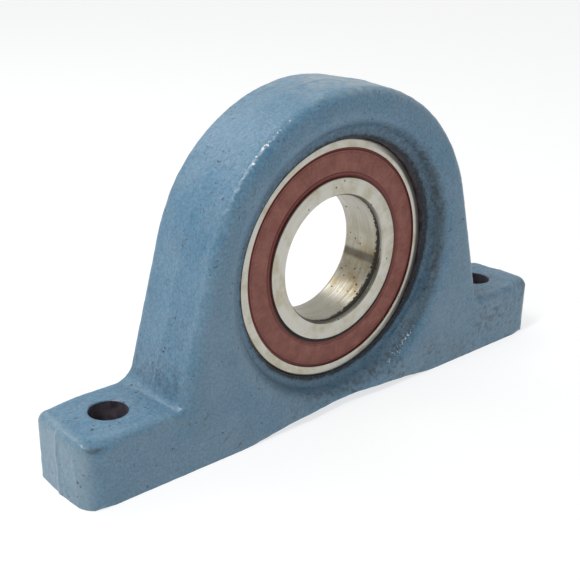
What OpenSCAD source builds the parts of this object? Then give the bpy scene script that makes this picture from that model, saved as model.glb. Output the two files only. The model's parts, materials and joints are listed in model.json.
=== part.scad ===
// One-piece cast pillow block with a sealed deep groove ball bearing.
// Millimetres. The shaft axis lies along Y, the front is at -Y, the base stands on Z = 0.

/* [Housing] */
// Height of the shaft axis above the base
axis_height = 53; // [51:0.5:60]
// Overall length of the base, measured at the parting line
base_length = 212.8; // [206:0.2:240]
// Width of the housing, front face to rear face
housing_width = 32.5; // [30:0.5:40]
// Radius of the arch at its edges, next to the parting line's crown
arch_radius = 60.3; // [57:0.1:64]
// Half width of the body where its flanks meet the top of the feet
flank_reach = 71.2; // [66:0.1:76]
// Height of the feet
foot_height = 22.4; // [18:0.1:26]
// How far the drafted sides stand out at the parting line
parting_crown = 0.9; // [0.2:0.1:1.2]
// Rounding of the cast outer edges
edge_round = 3.7; // [1:0.1:5]
// Rounding of the vertical corners of the feet
foot_corner_round = 7; // [3:0.5:10]
// Fillet between each flank and the top of its foot
toe_fillet = 4; // [2:0.5:8]
// Length of the shallow relief under the middle of the base
relief_span = 80; // [50:1:120]
// Depth of that relief at its middle
relief_depth = 2.6; // [1:0.1:4]

/* [Fixing bolts] */
// Distance between the two bolt holes
bolt_spacing = 175; // [168:0.5:184]
// Diameter of each bolt hole
bolt_hole = 12.5; // [9:0.1:14]

/* [Bearing seat] */
// Distance from the front face of the housing to the front face of the bearing
bearing_inset = 8.25; // [7.5:0.05:8.5]
// Radius at which each face starts to roll over into its dished recess
recess_radius = 54; // [52:0.5:55]
// Depth of the recess in the front face
front_recess = 6.4; // [5:0.1:7]
// Depth of the recess in the rear face
rear_recess = 2.5; // [1:0.1:3.5]
// Rounding of the soft rim that leads from each face into its recess
rim_round = 8; // [7:0.5:9]
// Fillet between the rim and the floor of each recess
floor_fillet = 1.5; // [0.5:0.1:2]
// Diameter of the opening in the shoulder behind the bearing
shoulder_opening = 79; // [76:0.5:80]

/* [Bearing rings] */
// Bore of the inner ring
bore = 45; // [44:0.1:46]
// Outside diameter of the outer ring
outside_diameter = 85; // [84.5:0.1:86]
// Width of both rings
ring_width = 19; // [18.5:0.1:19.5]
// Shoulder diameter of the inner ring
inner_shoulder = 57.6; // [57:0.1:58.2]
// Shoulder diameter of the outer ring
outer_shoulder = 73; // [72:0.1:74]
// Chamfer at the ends of the bore
bore_chamfer = 0.7; // [0.3:0.1:1.2]
// Rounding of the outer ring's outside corners
ring_round = 1.1; // [0.5:0.1:1.5]

/* [Balls and cage] */
// Diameter of a ball
ball_diameter = 12.7; // [12.3:0.1:12.9]
// Diameter of the circle through the ball centres
pitch_diameter = 65; // [64.6:0.1:65.4]
// Radial play between a ball and each raceway
ball_play = 0.01; // [0.005:0.005:0.03]
// Thickness of the cage strip
cage_sheet = 1; // [0.8:0.1:1.1]
// Play between a ball and its cage pocket
pocket_play = 0.1; // [0.05:0.05:0.15]
// Diameter of a rivet shank
rivet_shank = 1.8; // [1.2:0.1:2.2]

/* [Hidden] */
BALL_COUNT = 9;
BALL_NODES = [for (i = [1:BALL_COUNT]) str("ball_0", i)];

$fn = 96;
ARC_STEPS = 6;
past = 1;
paint_blue = "#6f8ea4";
ground_steel = "#c3c1b8";
polished_steel = "#d8d9da";
pressed_steel = "#a9a79d";
plated_steel = "#9a9a98";
seal_rubber = "#85463c";

half_width = housing_width / 2;
half_length = base_length / 2 - parting_crown;
ring_half = ring_width / 2;
bearing_y = bearing_inset + ring_half - half_width;
seat_radius = outside_diameter / 2;
pitch_radius = pitch_diameter / 2;
ball_radius = ball_diameter / 2;

// The flank leaves the arch where it is tangent to it.
flank_drop = axis_height - foot_height;
tangent_angle = acos(arch_radius / norm([flank_reach, flank_drop])) - atan(flank_drop / flank_reach);
tangent_point = arch_radius * [cos(tangent_angle), sin(tangent_angle)] + [0, axis_height];

// Raceway grooves are a little more open than the ball.
inner_groove = 0.515 * ball_diameter;
outer_groove = 0.53 * ball_diameter;
inner_groove_centre = pitch_radius - ball_radius - ball_play + inner_groove;
outer_groove_centre = pitch_radius + ball_radius + ball_play - outer_groove;

// Seal seat in the outer ring, as distances from the bearing's middle plane.
seal_mouth_radius = 39;
seal_groove_radius = 39.4;
seal_step = ring_half - 1.6;
seal_groove_edge = ring_half - 0.4;
seal_face = ring_half - 0.35;
seal_rim = ring_half - 0.15;
plate_back = seal_step + 0.35;
plate_front = plate_back + 0.5;
plate_inner = 30.8;
plate_outer = 38.2;
lip_radius = inner_shoulder / 2 + 0.05;

// Cage pockets, strip and rivets.
pocket_radius = ball_radius + pocket_play;
cage_inner = pitch_radius - 2.8;
cage_outer = pitch_radius + 2.8;
rivet_head_radius = 0.9 * rivet_shank;
rivet_head_height = 0.7;
pitch_step = 360 / BALL_COUNT;

// Points of an arc from one angle to another.
function arc(centre, radius, from, to) =
    [for (i = [0:ARC_STEPS]) let (a = from + (to - from) * i / ARC_STEPS) centre + radius * [cos(a), sin(a)]];

// Turns a shape made around Z so that its axis lies along the shaft, with +Z pointing to the rear.
module along_shaft() {
    translate([0, 0, axis_height]) rotate([-90, 0, 0]) children();
}

// The same, seated at the bearing's middle plane.
module in_bearing() {
    along_shaft() translate([0, 0, bearing_y]) children();
}

// Cross section of a drafted, round-edged cast side: X is measured outward from the side.
module cast_side(depth) {
    polygon(concat(
        [[-depth, -half_width]],
        arc([-edge_round, edge_round - half_width], edge_round, -90, 0),
        [[parting_crown, 0]],
        arc([-edge_round, half_width - edge_round], edge_round, 0, 90),
        [[-depth, half_width]]));
}

module arch() {
    along_shaft() rotate_extrude($fn = 180) translate([arch_radius, 0]) cast_side(arch_radius);
}

// Everything on the inner side of one drafted, round-edged flank. It runs just inside the arch.
module flank_limit() {
    inside = 0.03;
    translate([tangent_point.x, 0, tangent_point.y])
        rotate([0, -tangent_angle, 0])
            translate([-inside, 0, -2 * axis_height])
                linear_extrude(4 * axis_height) cast_side(3 * arch_radius);
}

module flanks() {
    intersection() {
        rotate([90, 0, 0]) linear_extrude(2 * half_width, center = true)
            polygon([
                [-tangent_point.x, tangent_point.y], [tangent_point.x, tangent_point.y],
                [flank_reach + parting_crown, foot_height - edge_round],
                [flank_reach - edge_round, past], [edge_round - flank_reach, past],
                [-flank_reach - parting_crown, foot_height - edge_round]]);
        flank_limit();
        mirror([1, 0, 0]) flank_limit();
    }
}

module foot_plan() {
    corner = foot_corner_round;
    intersection_for(side = [0, 1]) mirror([side, 0]) polygon(concat(
        [[-base_length, half_width], [-base_length, -half_width]],
        arc([half_length - corner, corner - half_width], corner, -90, 0),
        [[half_length + parting_crown, 0]],
        arc([half_length - corner, half_width - corner], corner, 0, 90)));
}

// Upright section of the base with both top edges rounded.
module round_top(half_span) {
    polygon(concat(
        [[-half_span, 0], [half_span, 0]],
        arc([half_span - edge_round, foot_height - edge_round], edge_round, 0, 90),
        arc([edge_round - half_span, foot_height - edge_round], edge_round, 90, 180)));
}

module base_bar() {
    intersection() {
        linear_extrude(foot_height) foot_plan();
        rotate([90, 0, 0]) linear_extrude(2 * housing_width, center = true)
            round_top(half_length + parting_crown);
        rotate([90, 0, 90]) linear_extrude(2 * base_length, center = true) round_top(half_width);
    }
}

// Fillet in the corner between the right flank and the top of its foot.
module toe() {
    lean = tangent_angle;
    centre = [flank_reach + toe_fillet * (1 - sin(lean)) / cos(lean), foot_height + toe_fillet];
    rotate([90, 0, 0]) linear_extrude(2 * (half_width - edge_round), center = true)
        polygon(concat(
            [[flank_reach - past, foot_height - past]],
            arc(centre, toe_fillet, 180 + lean, 270),
            [[centre.x, foot_height - past]]));
}

// Revolved cutter for a dished recess that enters a face at Z = 0 and goes down to -depth.
// The rim rolls over from the face in one large rounding, and a small fillet leads it into the flat floor.
module dish(depth) {
    between = rim_round + floor_fillet;
    turn = asin((between - depth) / between);
    rotate_extrude($fn = 180) polygon(concat(
        [[0, past], [recess_radius, past]],
        arc([recess_radius, -rim_round], rim_round, 90, 180 - turn),
        arc([recess_radius - between * cos(turn), floor_fillet - depth], floor_fillet, -turn, -90),
        [[0, -depth]]));
}

module relief() {
    radius = (pow(relief_span / 2, 2) + pow(relief_depth, 2)) / (2 * relief_depth);
    translate([0, 0, relief_depth - radius]) rotate([90, 0, 0])
        cylinder(r = radius, h = 2 * housing_width, center = true, $fn = 720);
}

// Seat for the outer ring, open at the front and closed by the shoulder at the rear.
module seat() {
    chamfer = 0.8;
    mouth = front_recess - half_width;
    seat_end = bearing_y + ring_half;
    along_shaft() {
        translate([0, 0, mouth - past]) cylinder(r = seat_radius, h = seat_end - mouth + past, $fn = 180);
        translate([0, 0, mouth - past])
            cylinder(r1 = seat_radius + chamfer + past, r2 = seat_radius, h = chamfer + past, $fn = 180);
        cylinder(d = shoulder_opening, h = housing_width, $fn = 180);
        translate([0, 0, -half_width]) rotate([180, 0, 0]) dish(front_recess);
        translate([0, 0, half_width]) dish(rear_recess);
    }
}

module housing() {
    color(paint_blue) difference() {
        union() {
            arch();
            flanks();
            base_bar();
            toe();
            mirror([1, 0, 0]) toe();
        }
        seat();
        relief();
        for (side = [-1, 1]) translate([side * bolt_spacing / 2, 0, -past])
            cylinder(d = bolt_hole, h = foot_height + 2 * past);
    }
}

module outer_ring() {
    outer = seat_radius;
    color(ground_steel) in_bearing() difference() {
        rotate_extrude($fn = 180) polygon(concat(
            [[outer_shoulder / 2, seal_step], [outer_shoulder / 2, -seal_step],
             [seal_groove_radius, -seal_step], [seal_groove_radius, -seal_groove_edge],
             [seal_mouth_radius, -seal_groove_edge], [seal_mouth_radius, -ring_half]],
            arc([outer - ring_round, ring_round - ring_half], ring_round, -90, 0),
            arc([outer - ring_round, ring_half - ring_round], ring_round, 0, 90),
            [[seal_mouth_radius, ring_half], [seal_mouth_radius, seal_groove_edge],
             [seal_groove_radius, seal_groove_edge], [seal_groove_radius, seal_step]]));
        rotate_extrude($fn = 180) translate([outer_groove_centre, 0]) circle(r = outer_groove);
    }
}

module inner_ring() {
    inner = bore / 2;
    shoulder = inner_shoulder / 2;
    corner = 0.4;
    color(ground_steel) in_bearing() difference() {
        rotate_extrude($fn = 180) polygon([
            [inner, bore_chamfer - ring_half], [inner + bore_chamfer, -ring_half],
            [shoulder - corner, -ring_half], [shoulder, corner - ring_half],
            [shoulder, ring_half - corner], [shoulder - corner, ring_half],
            [inner + bore_chamfer, ring_half], [inner, ring_half - bore_chamfer]]);
        rotate_extrude($fn = 180) translate([inner_groove_centre, 0]) circle(r = inner_groove);
    }
}

// The first ball stands straight above the shaft.
module ball(i) {
    color(polished_steel) in_bearing() rotate([0, 0, -90 + i * pitch_step])
        translate([pitch_radius, 0, 0]) sphere(r = ball_radius);
}

// Half of the ribbon cage: flat webs on the middle plane and a dome over every ball.
module cage_half() {
    difference() {
        intersection() {
            union() {
                translate([0, 0, -cage_sheet]) cylinder(r = cage_outer, h = cage_sheet, $fn = 180);
                for (i = [0:BALL_COUNT - 1]) rotate([0, 0, -90 + i * pitch_step])
                    translate([pitch_radius, 0, 0]) sphere(r = pocket_radius + cage_sheet);
            }
            translate([0, 0, -ring_width]) difference() {
                cylinder(r = cage_outer, h = ring_width, $fn = 180);
                translate([0, 0, -past]) cylinder(r = cage_inner, h = ring_width + 2 * past, $fn = 180);
            }
        }
        for (i = [0:BALL_COUNT - 1]) rotate([0, 0, -90 + i * pitch_step]) {
            translate([pitch_radius, 0, 0]) sphere(r = pocket_radius);
            rotate([0, 0, pitch_step / 2]) translate([pitch_radius, 0, -cage_sheet - past])
                cylinder(d = rivet_shank, h = cage_sheet + 2 * past, $fn = 32);
        }
    }
}

module cage_front() {
    color(pressed_steel) in_bearing() cage_half();
}

module cage_rear() {
    color(pressed_steel) in_bearing() mirror([0, 0, 1]) cage_half();
}

module rivet() {
    cylinder(d = rivet_shank, h = 2 * cage_sheet, center = true, $fn = 32);
    for (side = [0, 1]) mirror([0, 0, side])
        translate([0, 0, cage_sheet])
            cylinder(r1 = rivet_head_radius, r2 = 0.7 * rivet_head_radius, h = rivet_head_height, $fn = 32);
}

module cage_rivets() {
    color(plated_steel) in_bearing()
        for (i = [0:BALL_COUNT - 1]) rotate([0, 0, -90 + (i + 0.5) * pitch_step])
            translate([pitch_radius, 0, 0]) rivet();
}

// Moulded rubber of one seal, in the +Z half of the bearing. Its lip runs on the inner ring.
module seal_rubber_shape() {
    lip_back = seal_step - 0.2;
    lip_edge = 29.6;
    rotate_extrude($fn = 180) polygon([
        [seal_groove_radius, seal_step], [seal_groove_radius, seal_groove_edge],
        [seal_mouth_radius, seal_groove_edge], [seal_mouth_radius, seal_rim - 0.1],
        [seal_mouth_radius - 0.15, seal_rim], [38.3, seal_rim], [38.05, seal_rim - 0.25],
        [37.8, seal_face], [31.2, seal_face], [30.9, seal_face - 0.3], [30.6, seal_face - 0.25],
        [30.1, seal_face - 0.35], [lip_edge, seal_face - 0.7], [lip_radius, lip_back + 0.35],
        [lip_radius, lip_back], [lip_edge, lip_back], [plate_inner - 0.5, plate_back],
        [plate_inner, plate_back], [plate_inner, plate_front], [plate_outer, plate_front],
        [plate_outer, seal_step]]);
}

// Steel stiffener of one seal: a flat washer with its rim turned toward the balls.
module seal_plate_shape() {
    sheet = plate_front - plate_back;
    rotate_extrude($fn = 180) polygon([
        [plate_inner, plate_back], [plate_outer - sheet, plate_back], [plate_outer - sheet, seal_step],
        [plate_outer, seal_step], [plate_outer, plate_front], [plate_inner, plate_front]]);
}

module seal_front_rubber() {
    color(seal_rubber) in_bearing() mirror([0, 0, 1]) seal_rubber_shape();
}

module seal_front_plate() {
    color(plated_steel) in_bearing() mirror([0, 0, 1]) seal_plate_shape();
}

module seal_rear_rubber() {
    color(seal_rubber) in_bearing() seal_rubber_shape();
}

module seal_rear_plate() {
    color(plated_steel) in_bearing() seal_plate_shape();
}

housing();
outer_ring();
inner_ring();
for (i = [0:BALL_COUNT - 1])
    ball(i);
cage_front();
cage_rear();
cage_rivets();
seal_front_rubber();
seal_front_plate();
seal_rear_rubber();
seal_rear_plate();
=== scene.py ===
"""Looks of a painted cast iron pillow block with a sealed deep groove ball bearing.

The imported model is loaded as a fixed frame. The housing, the rings and the seals are rebuilt here as fine
meshes that stand for their plain nodes, and the sealed inner pieces keep their own shapes. Lengths inside the
classes are millimetres; meshes are written in metres, with the shaft axis along Y and the front at -Y.
"""

import json
import logging
import math
from abc import ABC, abstractmethod
from collections.abc import Callable
from dataclasses import dataclass, field
from enum import Enum

import bmesh
import bpy
import numpy as np
from mathutils import Matrix, Vector, noise


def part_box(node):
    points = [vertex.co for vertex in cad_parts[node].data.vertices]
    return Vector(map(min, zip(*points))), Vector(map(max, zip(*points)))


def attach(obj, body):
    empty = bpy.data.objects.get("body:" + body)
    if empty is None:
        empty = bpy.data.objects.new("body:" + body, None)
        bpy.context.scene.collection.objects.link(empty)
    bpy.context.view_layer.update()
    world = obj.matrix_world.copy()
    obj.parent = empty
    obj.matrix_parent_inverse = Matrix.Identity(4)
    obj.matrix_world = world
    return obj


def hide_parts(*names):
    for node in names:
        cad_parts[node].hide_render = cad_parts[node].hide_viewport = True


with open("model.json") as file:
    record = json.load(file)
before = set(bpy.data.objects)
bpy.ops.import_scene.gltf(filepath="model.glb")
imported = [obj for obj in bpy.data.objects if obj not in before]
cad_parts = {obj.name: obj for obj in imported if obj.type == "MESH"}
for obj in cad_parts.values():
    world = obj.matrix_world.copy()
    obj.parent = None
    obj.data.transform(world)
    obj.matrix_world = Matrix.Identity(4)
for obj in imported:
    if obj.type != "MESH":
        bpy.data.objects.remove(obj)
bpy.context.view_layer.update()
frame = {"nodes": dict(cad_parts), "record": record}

Tree = bpy.types.NodeTree
Node = bpy.types.Node
Socket = bpy.types.NodeSocket

MM = 0.001
LOG = logging.getLogger("pillow_block")
# The casting's colour layer of grime and painted shade, wear and painted highlight, rust and dust.
WEATHER_AND_LIGHT = "weather_and_light"
# Sockets of a mix of two colours, and settings that many nodes share.
MIX_FACTOR, MIX_A, MIX_B, MIX_RESULT = 0, 6, 7, 2
COLOURS = {"data_type": "RGBA"}
TINTING = {"data_type": "RGBA", "blend_type": "MULTIPLY"}
SMOOTH = {"interpolation_type": "SMOOTHSTEP"}
# Nearly all of a noise texture's values lie in this range.
NOISE_SPREAD = {"From Min": 0.3, "From Max": 0.7}


class Side(Enum):
    """Which end of the bearing a piece sits at, as the sign of its Y."""

    FRONT = -1
    REAR = 1


class Ring(Enum):
    """The two rings of the bearing, by node name."""

    OUTER = "outer_ring"
    INNER = "inner_ring"


# ---------------------------------------------------------------------------------------------------------
# Small helpers
# ---------------------------------------------------------------------------------------------------------


def srgb(code: str) -> tuple[float, float, float, float]:
    """Turn an sRGB hex colour into linear light.

    Args:
        code: Six hex digits with a leading hash.

    Returns:
        Red, green, blue and an alpha of one.
    """
    values = [int(code[i:i + 2], 16) / 255 for i in (1, 3, 5)]
    linear = [v / 12.92 if v <= 0.04045 else ((v + 0.055) / 1.055) ** 2.4 for v in values]
    return (*linear, 1.0)


def per_size(size_mm: float) -> float:
    """Give the texture scale, in cycles per metre, of a pattern whose features are size_mm across."""
    return 1 / (size_mm * MM)


def add_node(
    tree: Tree,
    kind: str,
    settings: dict[str, object] | None = None,
    inputs: dict[str | int, object] | None = None,
) -> Node:
    """Add a node with its settings and links.

    Args:
        tree: The material's node tree.
        kind: The node's type name after "ShaderNode".
        settings: Attributes of the node.
        inputs: Values for its inputs by name or index. A socket is linked and anything else is stored.

    Returns:
        The new node.
    """
    node = tree.nodes.new("ShaderNode" + kind)
    for name, value in (settings or {}).items():
        setattr(node, name, value)
    for key, value in (inputs or {}).items():
        if isinstance(value, Socket):
            tree.links.new(value, node.inputs[key])
        else:
            node.inputs[key].default_value = value
    return node


def ease(values: np.ndarray, start: float, end: float) -> np.ndarray:
    """Rise smoothly from 0 at start to 1 at end."""
    t = np.clip((values - start) / (end - start), 0, 1)
    return t * t * (3 - 2 * t)


def near(values: np.ndarray, middle: float, spread: float) -> np.ndarray:
    """Give 1 at the middle value, dying away on both sides within about twice the spread."""
    return np.exp(-((values - middle) / spread) ** 2)


def speckle(points: np.ndarray, size_mm: float, seed: float) -> np.ndarray:
    """Sample smooth noise at points.

    Args:
        points: Positions in millimetres, one per row.
        size_mm: Size of one swell of the noise.
        seed: Shift that makes one pattern differ from another.

    Returns:
        Noise from about -1 to 1, one value per point.
    """
    shifted = points / size_mm + seed
    return np.array([noise.noise(p) for p in shifted.tolist()])


def soften(corners: list[tuple[float, float, float]], steps: int = 4) -> list[tuple[float, float]]:
    """Round the corners of a closed outline.

    Args:
        corners: Each corner's two coordinates and its rounding radius, in order around the outline.
        steps: Straight pieces in each rounded corner.

    Returns:
        The outline's points. A corner with no radius stays one point.
    """
    outline: list[tuple[float, float]] = []
    count = len(corners)
    for i, (a, b, radius) in enumerate(corners):
        here = np.array([a, b])
        if radius <= 0:
            outline.append((a, b))
            continue
        before = np.array(corners[i - 1][:2]) - here
        after = np.array(corners[(i + 1) % count][:2]) - here
        before /= np.linalg.norm(before)
        after /= np.linalg.norm(after)
        half = math.acos(float(np.clip(before @ after, -1, 1))) / 2
        reach = radius / math.tan(half)
        centre = here + (before + after) / np.linalg.norm(before + after) * radius / math.sin(half)
        first, last = here + before * reach - centre, here + after * reach - centre
        turn = math.pi - 2 * half
        for k in range(steps + 1):
            t = k / steps
            mixed = (math.sin((1 - t) * turn) * first + math.sin(t * turn) * last) / math.sin(turn)
            outline.append(tuple(centre + mixed))
    return outline


def arc(
    centre: tuple[float, float], radius: float, start: float, end: float, steps: int
) -> list[tuple[float, float]]:
    """List the points of an arc, with its angles in radians."""
    angles = [start + (end - start) * k / steps for k in range(steps + 1)]
    return [(centre[0] + radius * math.cos(a), centre[1] + radius * math.sin(a)) for a in angles]


def new_object(name: str, mesh: bpy.types.Mesh) -> bpy.types.Object:
    """Link a mesh into the scene.

    Args:
        name: Name of the object.
        mesh: Its mesh.

    Returns:
        The object.
    """
    piece = bpy.data.objects.new(name, mesh)
    bpy.context.scene.collection.objects.link(piece)
    return piece


def turn_profile(name: str, profile: list[tuple[float, float]], segments: int = 288) -> bpy.types.Mesh:
    """Turn a closed profile about the Y axis, as on a lathe.

    Args:
        name: Name of the mesh.
        profile: Points as radius and Y in millimetres. Two neighbours on the axis close the shape there.
        segments: Steps around the axis.

    Returns:
        The mesh, in metres.
    """
    angles = np.arange(segments) * 2 * np.pi / segments
    radius, along = (np.array(c) for c in zip(*profile))
    points = np.stack([
        np.outer(np.cos(angles), radius),
        np.broadcast_to(along, (segments, len(along))),
        np.outer(np.sin(angles), radius),
    ], axis=-1).reshape(-1, 3) * MM
    count = len(profile)
    faces = []
    for i in range(segments):
        here, there = i * count, (i + 1) % segments * count
        for j in range(count):
            k = (j + 1) % count
            if profile[j][0] > 0 or profile[k][0] > 0:
                faces.append((here + j, here + k, there + k, there + j))
    mesh = bpy.data.meshes.new(name)
    mesh.from_pydata(points.tolist(), [], faces)
    work = bmesh.new()
    work.from_mesh(mesh)
    bmesh.ops.remove_doubles(work, verts=work.verts, dist=1e-7)
    bmesh.ops.dissolve_degenerate(work, dist=1e-8, edges=work.edges)
    bmesh.ops.recalc_face_normals(work, faces=work.faces)
    work.to_mesh(mesh)
    work.free()
    return mesh


def smooth_by_angle(mesh: bpy.types.Mesh, degrees: float) -> None:
    """Shade a mesh smooth, with edges sharper than the angle kept crisp."""
    mesh.shade_smooth()
    mesh.set_sharp_from_angle(angle=math.radians(degrees))


# ---------------------------------------------------------------------------------------------------------
# Finishes
# ---------------------------------------------------------------------------------------------------------


@dataclass(frozen=True)
class Finish(ABC):
    """One surface finish. Making it gives the Blender material."""

    @abstractmethod
    def wire(self, tree: Tree, shader: Node, place: Socket) -> None:
        """Set up the surface shader.

        Args:
            tree: The material's node tree.
            shader: Its Principled BSDF.
            place: Position on the piece, in metres.
        """

    def make(self) -> bpy.types.Material:
        """Make the material, named after the finish.

        Returns:
            The material.
        """
        material = bpy.data.materials.new(type(self).__name__)
        material.use_nodes = True
        tree = material.node_tree
        tree.nodes.clear()
        place = add_node(tree, "TexCoord").outputs["Object"]
        shader = add_node(tree, "BsdfPrincipled")
        add_node(tree, "OutputMaterial", inputs={"Surface": shader.outputs[0]})
        self.wire(tree, shader, place)
        return material


@dataclass(frozen=True)
class EnamelOnCastIron(Finish):
    """Alkyd machine enamel sprayed on raw sand-cast iron.

    The sand's grain shows through as fine bumps that sparkle, the film lies as a soft satin, and handling
    leaves grime in the hollows, dust on the crest, rubbed edges and a few chips that rust. Painted shade
    darkens the recesses and creases, and painted highlights run along some edges.
    """

    blue: str = "#4c7690"
    blue_thin: str = "#5f8097"
    grime_and_shade: str = "#23282d"
    dust: str = "#95a1a3"
    rubbed_and_highlight: str = "#d3d9db"
    rust: str = "#33261f"
    # The sand's grains and the pinholes are finer than this. They are drawn as coarse as they need to show.
    sand_mm: float = 0.9
    pebble_mm: float = 1.9
    mottle_mm: float = 13.0
    hole_mm: float = 1.15
    cluster_mm: float = 9.0

    def wire(self, tree: Tree, shader: Node, place: Socket) -> None:
        """Lay the enamel, its mottle, grime and painted shade, dust, wear and painted highlights, and grain.

        Args:
            tree: The material's node tree.
            shader: Its Principled BSDF.
            place: Position on the piece, in metres.
        """
        weather_and_light = add_node(tree, "Attribute", {"attribute_name": WEATHER_AND_LIGHT})
        masks = add_node(tree, "SeparateColor", inputs={0: weather_and_light.outputs["Color"]})
        mottle = add_node(tree, "TexNoise", inputs={
            "Vector": place, "Scale": per_size(self.mottle_mm), "Detail": 6.0, "Roughness": 0.68})
        sand = add_node(tree, "TexNoise", inputs={
            "Vector": place, "Scale": per_size(self.sand_mm), "Detail": 2.0, "Roughness": 0.6})
        pebble = add_node(tree, "TexNoise", inputs={
            "Vector": place, "Scale": per_size(self.pebble_mm), "Detail": 2.0, "Roughness": 0.5})
        patch = add_node(tree, "MapRange", inputs={
            "Value": mottle.outputs["Fac"], "From Min": 0.36, "From Max": 0.64})
        paint = add_node(tree, "Mix", COLOURS, {
            MIX_FACTOR: patch.outputs[0], MIX_A: srgb(self.blue), MIX_B: srgb(self.blue_thin)})

        # The film is thin on each grain of sand and pools between them, so the grains look paler.
        thin = add_node(tree, "MapRange", inputs={
            "Value": sand.outputs["Fac"], **NOISE_SPREAD, "To Min": 0.78, "To Max": 1.22})
        grained = add_node(tree, "Mix", TINTING, {
            MIX_FACTOR: 1.0, MIX_A: paint.outputs[MIX_RESULT], MIX_B: thin.outputs[0]})

        # Grime clings between the grains, so the hollows are darkest there. The same mask carries the painted
        # shade of the recesses and creases.
        cling = add_node(tree, "MapRange", inputs={
            "Value": sand.outputs["Fac"], **NOISE_SPREAD, "To Min": 1.2, "To Max": 0.8})
        dirt = add_node(tree, "Math", {"operation": "MULTIPLY", "use_clamp": True}, {
            0: masks.outputs["Red"], 1: cling.outputs[0]})
        dirty_and_shaded = add_node(tree, "Mix", COLOURS, {
            MIX_FACTOR: dirt.outputs[0], MIX_A: grained.outputs[MIX_RESULT], MIX_B: srgb(self.grime_and_shade)})
        dusty = add_node(tree, "Mix", COLOURS, {
            MIX_FACTOR: weather_and_light.outputs["Alpha"], MIX_A: dirty_and_shaded.outputs[MIX_RESULT], MIX_B: srgb(self.dust)})

        # Rubbed edges and painted highlights: the pale colour shows on the highest grains first, as
        # rubbed-off film and as painted glints along the edges.
        high = add_node(tree, "Math", {"operation": "MULTIPLY_ADD"}, {
            0: masks.outputs["Green"], 1: 0.5, 2: sand.outputs["Fac"]})
        bare_and_highlight = add_node(tree, "MapRange", inputs={
            "Value": high.outputs[0], "From Min": 0.86, "From Max": 0.98})
        worn = add_node(tree, "Mix", COLOURS, {
            MIX_FACTOR: bare_and_highlight.outputs[0], MIX_A: dusty.outputs[MIX_RESULT], MIX_B: srgb(self.rubbed_and_highlight)})

        # Clusters of dark specks where grains pulled out of the skin.
        holes = add_node(tree, "TexNoise", inputs={
            "Vector": place, "Scale": per_size(self.hole_mm), "Detail": 1.0, "Roughness": 0.5})
        cluster = add_node(tree, "TexNoise", inputs={
            "Vector": place, "Scale": per_size(self.cluster_mm), "Detail": 2.0})
        near = add_node(tree, "MapRange", inputs={
            "Value": cluster.outputs["Fac"], "From Min": 0.4, "From Max": 0.7,
            "To Min": 0.0, "To Max": 0.15})
        deep = add_node(tree, "Math", {"operation": "ADD"}, {0: holes.outputs["Fac"], 1: near.outputs[0]})
        speck = add_node(tree, "MapRange", inputs={
            "Value": deep.outputs[0], "From Min": 0.78, "From Max": 0.85, "To Min": 0.0, "To Max": 0.75})
        stained = add_node(tree, "Math", {"operation": "MAXIMUM"}, {
            0: speck.outputs[0], 1: masks.outputs["Blue"]})
        colour = add_node(tree, "Mix", COLOURS, {
            MIX_FACTOR: stained.outputs[0], MIX_A: worn.outputs[MIX_RESULT], MIX_B: srgb(self.rust)})
        tree.links.new(colour.outputs[MIX_RESULT], shader.inputs["Base Color"])

        satin = add_node(tree, "MapRange", inputs={
            "Value": mottle.outputs["Fac"], **NOISE_SPREAD, "To Min": 0.3, "To Max": 0.42})
        dull = add_node(tree, "Math", {"operation": "MULTIPLY_ADD", "use_clamp": True}, {
            0: dirt.outputs[0], 1: 0.35, 2: satin.outputs[0]})
        tree.links.new(dull.outputs[0], shader.inputs["Roughness"])

        swell = add_node(tree, "Bump", inputs={
            "Strength": 1.0, "Distance": 0.23 * MM, "Height": pebble.outputs["Fac"]})
        grain = add_node(tree, "Bump", inputs={
            "Strength": 1.0, "Distance": 0.12 * MM, "Height": sand.outputs["Fac"],
            "Normal": swell.outputs[0]})
        pitted = add_node(tree, "Bump", {"invert": True}, {
            "Strength": 0.8, "Distance": 0.3 * MM, "Height": speck.outputs[0], "Normal": grain.outputs[0]})
        tree.links.new(pitted.outputs[0], shader.inputs["Normal"])


@dataclass(frozen=True)
class BoredIron(Finish):
    """Bored grey iron left bare: dull, blotched dark with old oil and browned with thin rust."""

    iron: str = "#645c64"
    oiled: str = "#3f3942"
    rust: str = "#4d372d"
    blotch_mm: float = 4.0
    grain_mm: float = 0.5

    def wire(self, tree: Tree, shader: Node, place: Socket) -> None:
        """Stain the iron and mark it with fine grain.

        Args:
            tree: The material's node tree.
            shader: Its Principled BSDF.
            place: Position on the piece, in metres.
        """
        blotch = add_node(tree, "TexNoise", inputs={
            "Vector": place, "Scale": per_size(self.blotch_mm), "Detail": 5.0, "Roughness": 0.6})
        grain = add_node(tree, "TexNoise", inputs={
            "Vector": place, "Scale": per_size(self.grain_mm), "Detail": 2.0})
        wet = add_node(tree, "MapRange", inputs={
            "Value": blotch.outputs["Fac"], "From Min": 0.4, "From Max": 0.6})
        dark = add_node(tree, "Mix", COLOURS, {
            MIX_FACTOR: wet.outputs[0], MIX_A: srgb(self.iron), MIX_B: srgb(self.oiled)})
        flake = add_node(tree, "MapRange", inputs={
            "Value": grain.outputs["Fac"], "From Min": 0.58, "From Max": 0.7, "To Max": 0.4})
        colour = add_node(tree, "Mix", COLOURS, {
            MIX_FACTOR: flake.outputs[0], MIX_A: dark.outputs[MIX_RESULT], MIX_B: srgb(self.rust)})
        tree.links.new(colour.outputs[MIX_RESULT], shader.inputs["Base Color"])
        shader.inputs["Roughness"].default_value = 0.62
        shader.inputs["Metallic"].default_value = 0.25
        rough = add_node(tree, "Bump", inputs={
            "Strength": 0.5, "Distance": 0.1 * MM, "Height": grain.outputs["Fac"]})
        tree.links.new(rough.outputs[0], shader.inputs["Normal"])


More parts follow.
